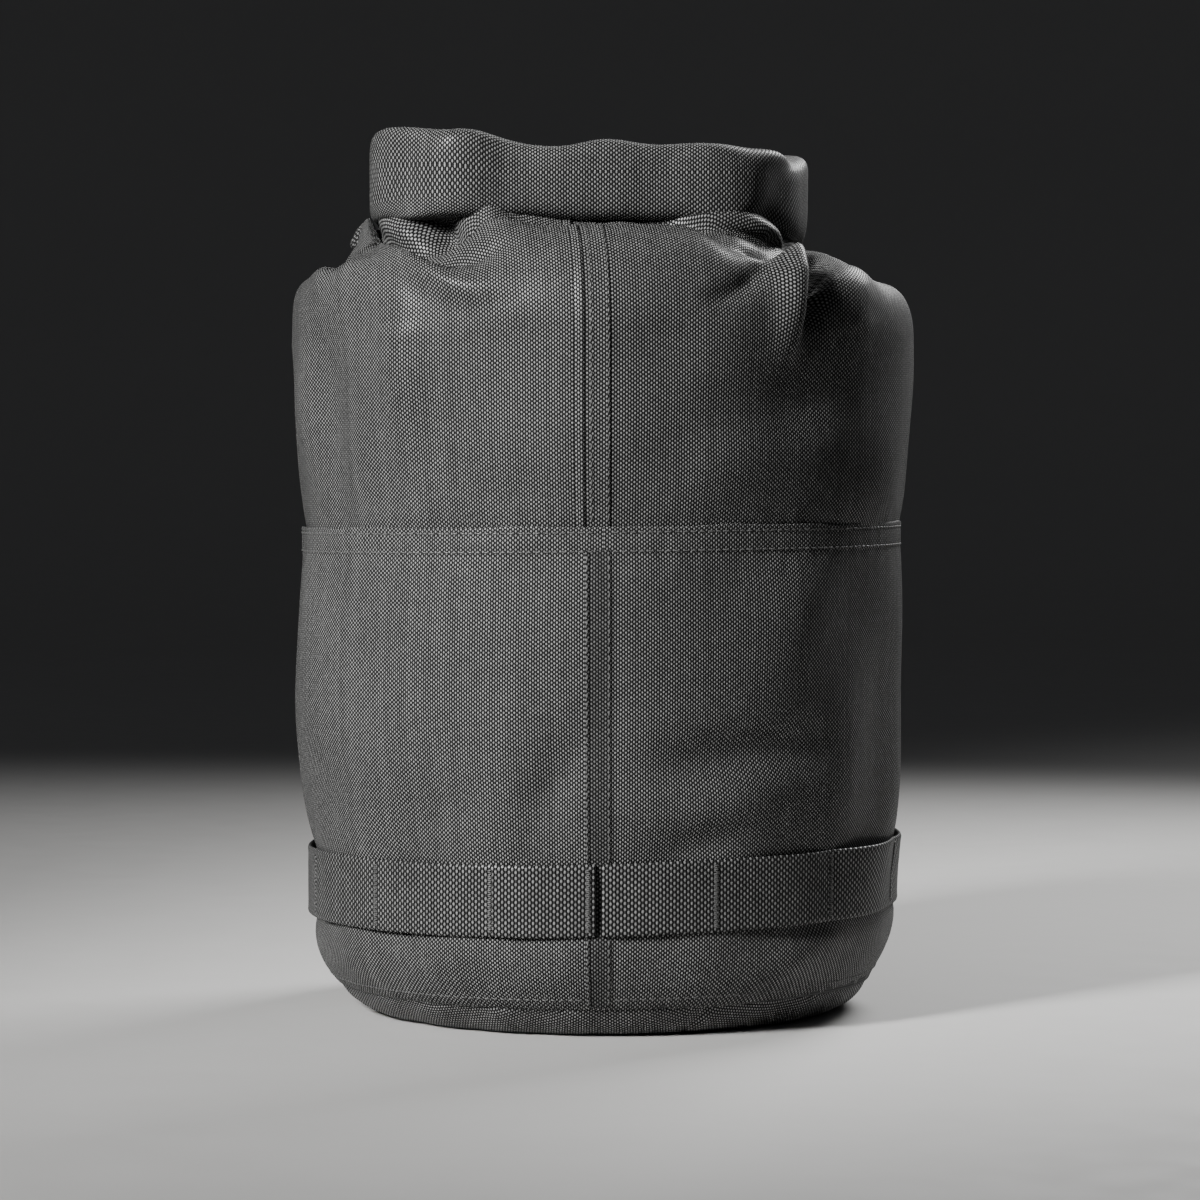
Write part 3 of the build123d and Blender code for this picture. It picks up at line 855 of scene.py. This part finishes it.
def roll_swell(a, s):
    """Soft creases of the roll: slack cloth drawn slantwise towards the corners."""
    pick = np.random.default_rng(23)
    total = 0.0
    for _ in range(7):
        long, twist = pick.uniform(24, 60), pick.integers(-2, 3)
        total = total + np.sin(2 * math.pi * s / long + twist * a + pick.uniform(0, 6.3))
    slack = 0.22 * total
    for place, turn, depth, wide, slope in (
            (-58, 0.0, -1.5, 7, 9.0), (-74, 0.3, 1.2, 8, 12.0), (-30, 0.4, -0.7, 10, -10.0), (30, 0.5, -0.9, 9, 12.0),
            (58, 0.2, 1.2, 8, 12.0), (70, 0.0, -1.6, 7, 14.0), (92, 0.3, 0.9, 8, 10.0), (-96, 0.0, -1.0, 8, -8.0),
            (130, 0.0, -1.0, 10, 8.0), (-135, 0.0, -0.9, 10, -9.0)):
        line = s - place - slope * np.sin(a - turn)
        slack = slack + depth * np.exp(-(line / wide) ** 2) * (0.55 + 0.45 * np.cos(a - turn))
    return slack


class SACK_OT_mouth_roll(bpy.types.Operator):
    """The mouth rolled up on its strip and bent round into a ring, with its turns seen at the ends"""
    bl_idname = "sack.mouth_roll"
    bl_label = "Rolled mouth"

    def execute(self, context):
        around = np.linspace(0, 2 * math.pi, 57)[:-1] + 0.02
        s = np.concatenate([[-ROLL_END + 4.5], np.linspace(-ROLL_END, ROLL_END, 231), [ROLL_END - 4.5]])
        grid_a, grid_s = np.meshgrid(around, s)
        swell = roll_swell(grid_a, grid_s)
        points = roll_points(around, s, swell)
        for end, inner in ((1, 0), (-2, -1)):
            middle = points[end].mean(0)
            points[inner] += (middle - points[end]) * 0.07
        for k in (1, -2):
            middle = points[k].mean(0)
            points[k] += (middle - points[k]) * 0.03
        rim = lengths(np.concatenate([points[100], points[100][:1]]))
        uv = cross(rim, lengths(points[:, 0]))[..., ::-1]
        piece = woven("rolled_mouth_cloth", points, uv, cloth_material(), caps=True)
        settle(piece, "closure", "cloth", "rolled_mouth")
        for side, name in ((-1, "left_roll_turns"), (1, "right_roll_turns")):
            settle(self.turns(name, side), "closure", "cloth")
        return {"FINISHED"}

    def turns(self, name, side):
        """The edge of the rolled cloth at one end, winding in to the strip."""
        count, layer = 4.6, 1.0
        t = np.linspace(0, 1, 190)
        a = 2 * math.pi * count * t - math.pi / 2
        out = (10.9 + (2.3 - 10.9) * t) * np.sign(np.cos(a)) * np.abs(np.cos(a)) ** 0.75
        rise = (13.9 + (10.6 - 13.9) * t) * np.sign(np.sin(a)) * np.abs(np.sin(a)) ** 0.75
        out = out + 0.25 * np.sin(5 * a) * t
        wobble = 0.5 * np.sin(3.1 * a + side)
        line = np.stack([out, rise], -1)
        ahead = unit(np.gradient(line, axis=0))
        across = np.stack([ahead[:, 1], -ahead[:, 0]], -1) * layer / 2
        end = np.array([side * ROLL_END])
        middle, outward = ring_frame(end)
        back, _ = ring_frame(end - side)
        forward = unit((middle - back))[0]
        middle, outward = middle[0] + outward[0] * ring_bow(end)[0], outward[0]

        def placed(flat, deep):
            xy = middle + flat[:, :1] * outward + np.asarray(deep)[:, None] * forward
            return np.concatenate([xy, RING_Z + flat[:, 1:]], 1)

        edge, inside = 0.4 + wobble, np.full(len(t), -6.0)
        rings = np.stack([placed(line + across, edge), placed(line - across, edge),
                          placed(line - across, inside), placed(line + across, inside)], 1)
        far = lengths(line)
        uv = np.stack(np.meshgrid(far, [0, layer, layer + 6, 2 * layer + 6, 2 * layer + 12], indexing="ij"), -1)
        return woven(name, rings, uv, cloth_material(), caps=True)


# ---- seams ----------------------------------------------------------------------------------
SEAM_ANGLE = -0.8          # the front seam sits a hair left of the middle
LOWER_SEAM_RADIUS, UPPER_SEAM_RADIUS = 112.0, 116.0


def on_tube(angle, height, lift):
    """Points over the lower tube at a height, lifted off the cloth."""
    grid = grids["lower"]
    row = np.interp(height, grid.heights, np.arange(len(grid.heights)))
    return grid.at(row, column_of(angle), lift)


class SACK_OT_seams(bpy.types.Operator):
    """Felled seams: the lap at the waist, the vertical seam in its two parts, and the tape inside"""
    bl_idname = "sack.seams"
    bl_label = "Seams"

    def execute(self, context):
        settle(self.waist_fold(), "sack", "cloth", "waist_lap")
        lower, upper = self.lower_strip(), self.upper_strip()
        settle(lower, "sack", "cloth", "lower_seam")
        settle(self.inner_tape(), "sack", "binding_tape", "seam_binding")
        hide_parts("upper_seam")
        stretch_with_neck(upper)
        return {"FINISHED"}

    def waist_fold(self):
        """The lower tube's edge, turned over and lapped on the upper tube."""
        profile = ((-0.9, -0.3), (-0.4, 0.12), (0.4, 0.02), (1.6, 0.28), (LAP - 3.0, 0.5), (LAP - 1.9, 0.42),
                   (LAP - 0.6, 0.85), (LAP + 0.1, 0.75), (LAP + 0.3, 0.3), (LAP - 0.2, -0.4), (LAP - 3, -0.6),
                   (0.5, -0.5))
        rows = []
        for up, lift in profile:
            wave = 0.07 * np.sin(np.radians(ANGLES) * 117) * (lift > 0.1)
            edge = 0.35 * ripple(ANGLES, 0.0, 31, 50, 1.0) * (up > LAP / 2)
            height = WAIST - LAP + up + edge
            rows.append(on_tube(ANGLES, np.minimum(height, WAIST), lift + wave)
                        + np.stack([0 * height, 0 * height, np.maximum(height - WAIST, 0)], -1))
        points = np.stack(rows + rows[:1])
        rim = lengths(np.array(profile + profile[:1]))
        return woven("waist_fold", points, cross(ROUND, rim + 0.4), cloth_material())

    def inner_tape(self):
        """Binding tape over the vertical seam's raw edges, inside both tubes."""
        places = np.array([-7.0, -6.9, -2.0, 2.0, 6.9, 7.0])
        under = np.array([-0.25, -0.7, -0.9, -0.9, -0.7, -0.25])
        heights = np.linspace(BASE_SEAM + 3, WAIST - 1, 60)
        a, z = np.meshgrid(SEAM_ANGLE + np.degrees(places / LOWER_SEAM_RADIUS), heights)
        low = on_tube(a, z, np.repeat(under[None], 60, 0) - 0.1)
        rows = np.linspace(6, 29, 40)
        c, r = np.meshgrid(column_of(SEAM_ANGLE) + places / UPPER_SEAM_RADIUS / STEP, rows)
        high = grids["upper"].at(r, c, np.repeat(under[None], 40, 0) - 0.1)
        points = np.concatenate([low, high])[:, ::-1]
        uv = cross(-places[::-1], lengths(points[:, 0]))
        return woven("inner_seam_tape", points, uv, hidden_tape_material(), wrap=False)

    def lower_strip(self):
        heights = np.linspace(BASE_SEAM + 0.6, WAIST - LAP + 1.0, 120)
        places = np.array([-5.0, -4.7, -4.4, -3.6, -3.2, -2.9, -2.5, 0.0, 3.4, 4.0, 4.4, 4.8])
        lifts = np.array([-0.3, 0.4, 0.62, 0.6, 0.45, 0.15, 0.3, 0.42, 0.42, 0.55, 0.4, -0.3])
        angle = SEAM_ANGLE + np.degrees(places / LOWER_SEAM_RADIUS)
        a, z = np.meshgrid(angle, heights)
        points = on_tube(a, z, np.repeat(lifts[None], len(heights), 0))
        # The lower strip's darker weave is painted shade.
        return woven("lower_front_seam", points, cross(places, heights), painted_shade_strip_material(), wrap=False)

    def upper_strip(self):
        grid = grids["upper"]
        places = np.array([-9.0, -7.4, -5.9, -5.3, -5.05, -4.9, -4.0, -2.2, 0.0, 3.0, 4.3, 4.9])
        lifts = np.array([-0.1, 0.25, 0.55, 0.62, 0.5, 0.04, 0.1, 0.16, 0.3, 0.35, 0.42, -0.3])
        columns = column_of(SEAM_ANGLE) + places / UPPER_SEAM_RADIUS / STEP
        rows = np.linspace(2.6, grid.points.shape[0] - 2, 120)
        c, r = np.meshgrid(columns, rows)
        points = grid.at(r, c, np.repeat(lifts[None], len(rows), 0))
        up = np.interp(rows, np.arange(len(grid.uv)), grid.uv[:, 0, 1])
        return woven("upper_front_seam", points, cross(places + 0.5, up), cloth_material(), wrap=False)


# ---- stitching ------------------------------------------------------------------------------
def stitches(name, lines, material, lean=0.35):
    """One mesh of separate stitches. Each line gives its points and the way out of the cloth."""
    thread = bpy.context.scene.sack_thread
    radius, pitch = thread.radius / MM, thread.stitch / MM
    spots = ((0.07, 0.30, -0.30), (0.22, 0.95, 0.12), (0.5, 1.0, 0.22), (0.78, 0.95, 0.12), (0.93, 0.30, -0.30))
    round_it = np.radians(np.arange(5) * 72.0)
    rings = []
    for points, outs in lines:
        far = lengths(points)
        count = max(1, int(far[-1] / pitch))
        step = far[-1] / count
        for k in range(count):
            at = step * (k + np.array([spot[0] for spot in spots]))
            centre = np.stack([np.interp(at, far, points[:, i]) for i in range(3)], -1)
            out = unit(np.stack([np.interp(at, far, outs[:, i]) for i in range(3)], -1))
            ahead = unit(centre[-1:] - centre[:1])
            side = unit(np.cross(ahead, out))
            for c, o, d, (where, share, lift) in zip(centre, out, side, spots):
                ring = c + o * lift + d * lean * (where - 0.5) + radius * share * (
                    np.cos(round_it)[:, None] * d + 0.8 * np.sin(round_it)[:, None] * o)
                rings.append(ring)
    rings = np.array(rings).reshape(-1, 5, 5, 3)
    faces, uvs = [], []
    for k in range(len(rings)):
        first = 25 * k
        for j in range(4):
            for i in range(5):
                n = (i + 1) % 5
                a = first + 5 * j
                faces.append([a + i, a + n, a + 5 + n, a + 5 + i])
                u, v = j * 0.6, i * 0.4
                uvs += [(u, v), (u, v + 0.4), (u + 0.6, v + 0.4), (u + 0.6, v)]
        faces.append([first + i for i in range(4, -1, -1)])
        faces.append([first + 20 + i for i in range(5)])
        uvs += [(0.0, 0.0)] * 10
    return write_mesh(name, rings.reshape(-1, 3), faces, uvs, material)


def level_line(grid_at, angles, height, lift):
    points = grid_at(angles, np.full(len(angles), height), lift)
    outer = grid_at(angles, np.full(len(angles), height), lift + 1.0)
    return points, outer - points


def waist_line(up):
    """A stitch row round the waist lap, up from its lower edge."""
    return level_line(on_tube, np.linspace(1.5, 358.5, 700), WAIST - LAP + up, 0.02 + 0.05 * up)


class SACK_OT_stitching(bpy.types.Operator):
    """Lockstitch rows, every stitch of them, along the waist, the vertical seam and the foot"""
    bl_idname = "sack.stitching"
    bl_label = "Stitching"

    def execute(self, context):
        thread = thread_material()
        settle(stitches("waist_stitching", [waist_line(0.5), waist_line(LAP - 1.9)], thread), "sack", "thread")
        foot = level_line(on_tube, np.linspace(2, 358, 700), BASE_SEAM + 3.2, -0.14)
        settle(stitches("foot_stitching", [foot], thread), "sack", "thread")
        lower = []
        for side, lift in ((-3.9, 0.55), (3.7, 0.42)):
            angle = SEAM_ANGLE + math.degrees(side / LOWER_SEAM_RADIUS)
            for low, high in ((BASE_SEAM + 1.5, BAND_LOW - 0.8), (BAND_HIGH + 1.0, WAIST - LAP - 0.5)):
                z = np.linspace(low, high, 60)
                points = on_tube(np.full(60, angle), z, lift)
                outer = on_tube(np.full(60, angle), z, lift + 1.0)
                lower.append((points, outer - points))
        settle(stitches("lower_seam_stitching", lower, thread), "sack", "thread")
        grid = grids["upper"]
        upper = []
        rows = np.linspace(3.2, grid.points.shape[0] - 6, 90)
        for side, lift in ((-2.4, 0.12), (3.6, 0.34)):
            column = np.full(90, column_of(SEAM_ANGLE) + side / UPPER_SEAM_RADIUS / STEP)
            points, outer = grid.at(rows, column, lift), grid.at(rows, column, lift + 1.0)
            upper.append((points, outer - points))
        piece = stitches("upper_seam_stitching", upper, thread)
        stretch_with_neck(piece)
        return {"FINISHED"}


# ---- webbing band ---------------------------------------------------------------------------
BAND_GAP = 2.0             # between the band's two ends
BAND_REST = 2.0            # how far the visible cloth lets the band sit in
TACK_FIRST, TACK_COUNT, TACK_END = 41.0, 13, 5.2     # places along the band


def tack_angles():
    """Where the band is tacked down, in degrees from the front seam."""
    round_band = 2 * math.pi * (BAND_OUTSIDE - WEBBING)
    spacing = (round_band - 2 * TACK_FIRST) / (TACK_COUNT - 1)
    places = [TACK_FIRST + spacing * k for k in range(TACK_COUNT)] + [round_band - TACK_END]
    return np.array(places) / round_band * 360


def band_line(angle, up):
    """The inner face of the band at an angle and a height up its width, from 0 to 1."""
    tacks = np.concatenate([[0.0], tack_angles(), [360.0]])
    k = np.clip(np.searchsorted(tacks, angle) - 1, 0, len(tacks) - 2)
    between = (angle - tacks[k]) / (tacks[k + 1] - tacks[k])
    free = np.sin(math.pi * np.clip(between, 0, 1)) * (tacks[k + 1] - tacks[k] > 12)
    turn = (angle + 180) % 360 - 180
    slack = 0.3 + 2.3 * np.exp(-((turn - 58) / 20) ** 2) + 0.9 * np.exp(-((turn + 120) / 30) ** 2)
    flare = 1 + 0.9 * (up - 0.5) * smooth((turn - 20) / 30) * smooth((110 - turn) / 30)
    stand = BAND_OUTSIDE - WEBBING - BAND_REST + free * slack * flare
    stand = stand + 1.6 * np.exp(-((turn - 74) / 13) ** 2) * smooth((up - 0.3) / 0.7)
    height = BAND_LOW + up * (BAND_HIGH - BAND_LOW) + 0.25 * free * np.sin(np.radians(angle) * 5)
    x, y = plan(angle, stand)
    points = tilt(np.stack(np.broadcast_arrays(x, y, height), -1))
    return points, np.stack([*plan(angle, 1.0), 0 * angle], -1)


class SACK_OT_webbing_band(bpy.types.Operator):
    """Webbing band round the foot, slack between its tacks, with its two ends at the front seam"""
    bl_idname = "sack.webbing_band"
    bl_label = "Webbing band"

    def execute(self, context):
        gap = math.degrees(BAND_GAP / BAND_OUTSIDE)
        angle = np.linspace(SEAM_ANGLE + gap / 2, 360 + SEAM_ANGLE - gap / 2, 500)
        rim = ((0.0, 0.35), (0.012, 0.06), (0.05, 0.0), (0.3, 0.0), (0.7, 0.0), (0.95, 0.0), (0.988, 0.06),
               (1.0, 0.35), (1.006, 0.8), (0.99, 1.25), (0.955, 1.5), (0.9, 1.38), (0.7, 1.4), (0.5, 1.42),
               (0.3, 1.4), (0.1, 1.38), (0.045, 1.5), (0.01, 1.25), (-0.006, 0.8))
        rings = []
        for up, lift in rim:
            points, out = band_line(angle, up)
            rings.append(points + out * lift * WEBBING / 1.5)
        points = np.stack(rings, 1)
        along = lengths(points[:, 0])
        places = np.array([up * (BAND_HIGH - BAND_LOW) for up, _ in rim] + [0.0])
        uv = np.stack(np.meshgrid(along, places, indexing="ij"), -1)
        piece = woven("foot_webbing", points, uv, webbing_material(), caps=True)
        settle(piece, "sack", "webbing", "webbing_band")
        return {"FINISHED"}


def tack_bar(base_at, wide, tall, count):
    """Zigzag threads of one bartack, as stitch lines. base_at gives points at (across, up)."""
    lines = []
    stray = np.random.default_rng(7).normal(0, 0.16, (count, 2))
    for k in range(count):
        low, high = tall * (k + 0.1) / count, tall * (k + 0.9) / count
        left, right = -wide / 2 + stray[k, 0], wide / 2 + stray[k, 1]
        ends = ((left, low), (right, high)) if k % 2 else ((right, low), (left, high))
        points = np.array([base_at(*ends[0], 0.0), base_at(*ends[1], 0.0)])
        outer = np.array([base_at(*ends[0], 1.0), base_at(*ends[1], 1.0)])
        lines.append((points, outer - points))
    return lines


class SACK_OT_bartacks(bpy.types.Operator):
    """Zigzag bars of thread that divide the band into lashing loops"""
    bl_idname = "sack.bartacks"
    bl_label = "Bartacks"

    def execute(self, context):
        lines = []
        for tack in tack_angles():
            def over_band(across, up, lift, tack=tack):
                angle = np.array(tack + math.degrees(across / BAND_OUTSIDE))
                share = 0.06 + 0.88 * up
                points, out = band_line(np.atleast_1d(angle), share)
                return (points + out * (1.42 + lift))[0]
            lines += tack_bar(over_band, 2.6, 1.0, 32)
        piece = stitches("band_bartacks", lines, thread_material(), lean=0.0)
        settle(piece, "sack", "thread", "webbing_bartacks")
        return {"FINISHED"}


# ---- straps and buckle ----------------------------------------------------------------------
class SACK_OT_straps(bpy.types.Operator):
    """Doubled webbing tabs that hold the buckle's halves to the ends of the roll"""
    bl_idname = "sack.straps"
    bl_label = "Strap tabs"

    def execute(self, context):
        left, right = self.tab(-1, "left_tab_webbing"), self.tab(1, "right_tab_webbing")
        settle(left, "closure", "webbing", "left_strap_tab")
        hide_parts("right_strap_tab")
        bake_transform(right)
        return {"FINISHED"}

    def tab(self, side, name):
        """One length of webbing from the roll, round the bar and back."""
        reach = BACK_START + CORNER_START - BAR_X
        s = np.linspace(ROLL_END - 7, reach, 30)
        bow = 1.6 * np.sin(math.pi * (s - ROLL_END + 7) / (reach - ROLL_END + 7)) ** 2
        bow = bow * (1 if side > 0 else 0.5)
        layer = WEBBING / 2 + 0.05
        ends = np.clip((s - ROLL_END) / 6, 0, 1) * np.clip((reach - s) / 5, 0, 1)
        outer = np.stack(ring_point(side * s, layer + bow + 0.7 * ends), -1)
        inner = np.stack(ring_point(side * s, -layer + bow - 0.3 * ends), -1)
        bar = np.array([RING_X + side * BAR_X, RING_FRONT])
        turn = np.radians(np.linspace(80, -80, 14))
        eye = bar + 2.78 * np.stack([-side * np.cos(turn), np.sin(turn)], -1)
        line = np.concatenate([outer, eye, inner[::-1]])
        far = lengths(line)
        even = np.linspace(0, far[-1], 120)
        line = np.stack([np.interp(even, far, line[:, k]) for k in range(2)], -1)
        ahead = unit(np.gradient(line, axis=0))
        out = np.stack([ahead[:, 1], -ahead[:, 0], 0 * ahead[:, 0]], -1)
        up = np.repeat([[0.0, 0.0, 1.0]], len(line), 0)
        centres = np.concatenate([line, np.full((len(line), 1), RING_Z)], 1)
        half, thick = (TAB_HIGH[2] - TAB_LOW[2]) / 2, 0.68
        edge = half - 0.6
        face = [(thick * 0.6, -half), (thick, -edge), (thick * 0.9, 0), (thick, edge), (thick * 0.6, half)]
        section = face + [(-side_on, up_on) for side_on, up_on in face[::-1]]
        return swept(name, centres, out, up, section, webbing_material())


class SACK_OT_hardware(bpy.types.Operator):
    """Finishes of the buckle, the mouth's strip and the bindings, whose shapes come from the frame"""
    bl_idname = "sack.hardware"
    bl_label = "Buckle and strip"

    def execute(self, context):
        black = moulded_material("moulded buckle", (0.022, 0.022, 0.023), 0.5, 2600.0)
        strip = moulded_material("moulded strip", (0.04, 0.04, 0.04), 0.38, 900.0)
        finishes = {"buckle_socket": black, "buckle_plug": black, "upper_prong": black, "lower_prong": black,
                    "mouth_strip": strip, "base_binding": hidden_tape_material()}
        for node, material in finishes.items():
            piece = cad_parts[node]
            piece.data.materials.clear()
            piece.data.materials.append(material)
        return {"FINISHED"}


# ---- stage ----------------------------------------------------------------------------------
class SACK_OT_stage(bpy.types.Operator):
    """Pale floor, soft lights and the camera"""
    bl_idname = "sack.stage"
    bl_label = "Stage"

    def execute(self, context):
        scene, stage = context.scene, context.scene.sack_stage
        self.floor(stage)
        self.light("key_light", (-0.82, -0.92, 0.82), (-0.08, -0.09, 0.19), (0.22, 0.65), stage.key, spread=36)
        self.light("back_light", (0.62, 0.80, 0.95), (0.02, 0.05, 0.16), (0.55, 0.55), stage.rim, spread=110)
        world = bpy.data.worlds.new("studio")
        world.use_nodes = True
        air = world.node_tree.nodes["Background"]
        air.inputs["Color"].default_value = (0.93, 0.95, 1.0, 1.0)
        air.inputs["Strength"].default_value = stage.air
        scene.world = world
        # A long lens, level with the upper tube and a metre and a half away.
        lens = bpy.data.cameras.new("camera")
        lens.lens, lens.sensor_width = 115.1, 36.0
        camera = bpy.data.objects.new("camera", lens)
        camera.location = (-0.0011, -1.45, 0.198)
        camera.rotation_euler = (math.radians(90 - 1.79), 0, 0)
        scene.collection.objects.link(camera)
        scene.camera = camera
        return {"FINISHED"}

    def floor(self, stage):
        """A wide floor that curves up into a backdrop far behind."""
        profile = [(-4.0, 0.0), (3.2, 0.0)]
        profile += [(3.2 + 1.6 * math.sin(math.radians(a)), 1.6 - 1.6 * math.cos(math.radians(a)))
                    for a in range(9, 91, 9)] + [(4.8, 5.0)]
        points = np.array([[(x, y, z) for x in (-6.0, 6.0)] for y, z in profile]) / MM
        uv = np.zeros(points.shape[:2] + (2,))
        material, n, shader = blank("floor")
        place = n.add("NewGeometry").outputs["Position"]
        cloud = n.noise(place, 3.0, 5.0)
        pale = tuple(stage.floor)
        n.feed(shader.inputs["Base Color"], n.blend(cloud, (*[0.94 * c for c in pale], 1.0), (*pale, 1.0)))
        n.feed(shader.inputs["Roughness"], n.ramp(n.noise(place, 40.0, 3.0), 0.3, 0.7, 0.62, 0.72))
        floor = woven("floor", points, uv, material, wrap=False)

    def light(self, name, place, target, size, power, spread):
        lamp = bpy.data.lights.new(name, "AREA")
        lamp.shape, lamp.size, lamp.size_y, lamp.energy = "RECTANGLE", *size, power
        lamp.spread = math.radians(spread)
        holder = bpy.data.objects.new(name, lamp)
        holder.location = place
        holder.rotation_euler = (Vector(target) - Vector(place)).to_track_quat("-Z", "Y").to_euler()
        bpy.context.scene.collection.objects.link(holder)


# ---- add-on ---------------------------------------------------------------------------------
GROUPS = {"sack_cloth": SackCloth, "sack_webbing": SackWebbing, "sack_thread": SackThread,
          "sack_stage": SackStage}
OPERATORS = (SACK_OT_lower_cloth, SACK_OT_base_cloth, SACK_OT_upper_cloth, SACK_OT_mouth_roll, SACK_OT_seams,
             SACK_OT_stitching, SACK_OT_webbing_band, SACK_OT_bartacks, SACK_OT_straps, SACK_OT_hardware,
             SACK_OT_stage)


class SACK_PT_panel(bpy.types.Panel):
    bl_label = "Compression sack"
    bl_space_type = "VIEW_3D"
    bl_region_type = "UI"
    bl_category = "Sack"

    def draw(self, context):
        for key, kind in GROUPS.items():
            box = self.layout.box()
            for name in kind.__annotations__:
                box.prop(getattr(context.scene, key), name)
        for operator in OPERATORS:
            self.layout.operator(operator.bl_idname)


def register():
    for kind in (*GROUPS.values(), *OPERATORS, SACK_PT_panel):
        bpy.utils.register_class(kind)
    for key, kind in GROUPS.items():
        setattr(bpy.types.Scene, key, bpy.props.PointerProperty(type=kind))


def unregister():
    for key in GROUPS:
        delattr(bpy.types.Scene, key)
    for kind in reversed((*GROUPS.values(), *OPERATORS, SACK_PT_panel)):
        bpy.utils.unregister_class(kind)


def main():
    register()
    for operator in OPERATORS:
        group_name, name = operator.bl_idname.split(".")
        getattr(getattr(bpy.ops, group_name), name)()


if __name__ == "__main__":
    main()
